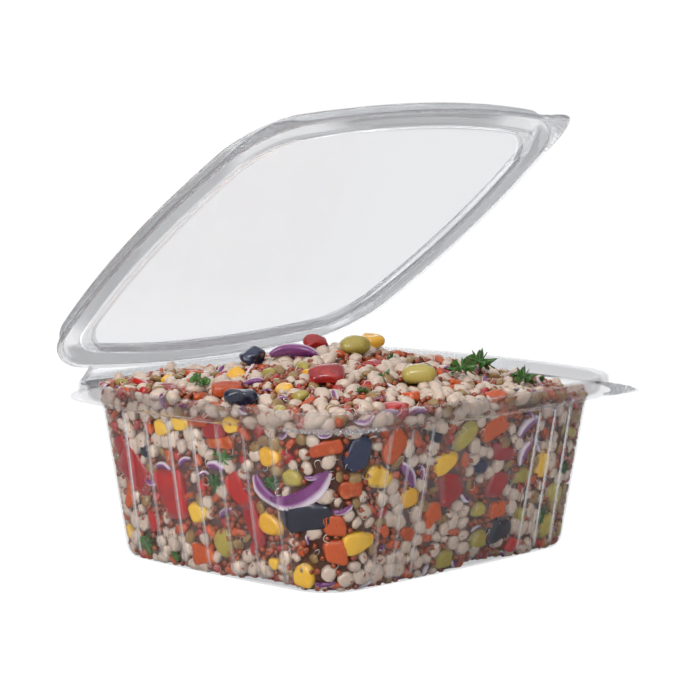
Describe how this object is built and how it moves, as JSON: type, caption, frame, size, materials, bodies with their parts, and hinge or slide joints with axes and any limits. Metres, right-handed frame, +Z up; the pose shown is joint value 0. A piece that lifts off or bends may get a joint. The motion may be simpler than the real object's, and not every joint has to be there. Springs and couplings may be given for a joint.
{
  "type": "takeaway meal container with grain salad",
  "caption": "Clear hinged plastic deli box with a ribbed tub and a lid held part open, heaped with a mixed grain and vegetable salad.",
  "frame": {"origin": "centre of the tub's flat underside", "axes": "+Z up, +X along the hinge, +Y towards the hinge side, -Y towards the corners with the ears"},
  "size_m": [0.1872, 0.1762, 0.1717],
  "materials": {
    "clear_plastic": "clear glossy formed sheet",
    "salad": "moist cooked grain",
    "red_onion": "moist, satin",
    "olive": "moist, glossy",
    "red_pepper": "moist, glossy",
    "edamame": "moist, satin",
    "sweetcorn": "moist, satin",
    "carrot": "moist, satin",
    "parsley": "leaf, satin"
  },
  "bodies": {
    "box": {"tub": "clear_plastic", "salad": "salad", "onion_strip": "red_onion", "olive_back": "olive", "olive_front": "olive", "pepper_top": "red_pepper", "pepper_back": "red_pepper", "edamame_back": "edamame", "edamame_front": "edamame", "corn_back": "sweetcorn", "carrot_front": "carrot", "parsley_back": "parsley", "parsley_middle": "parsley", "parsley_front": "parsley", "parsley_left": "parsley"},
    "lid": {"lid": "clear_plastic"}
  },
  "joints": [
    {"name": "lid_hinge", "type": "hinge", "parent": "box", "child": "lid", "pos_m": [0, 0.092, 0.0614], "axis": [-1, 0, 0], "range_deg": [-17, 142.6]}
  ]
}
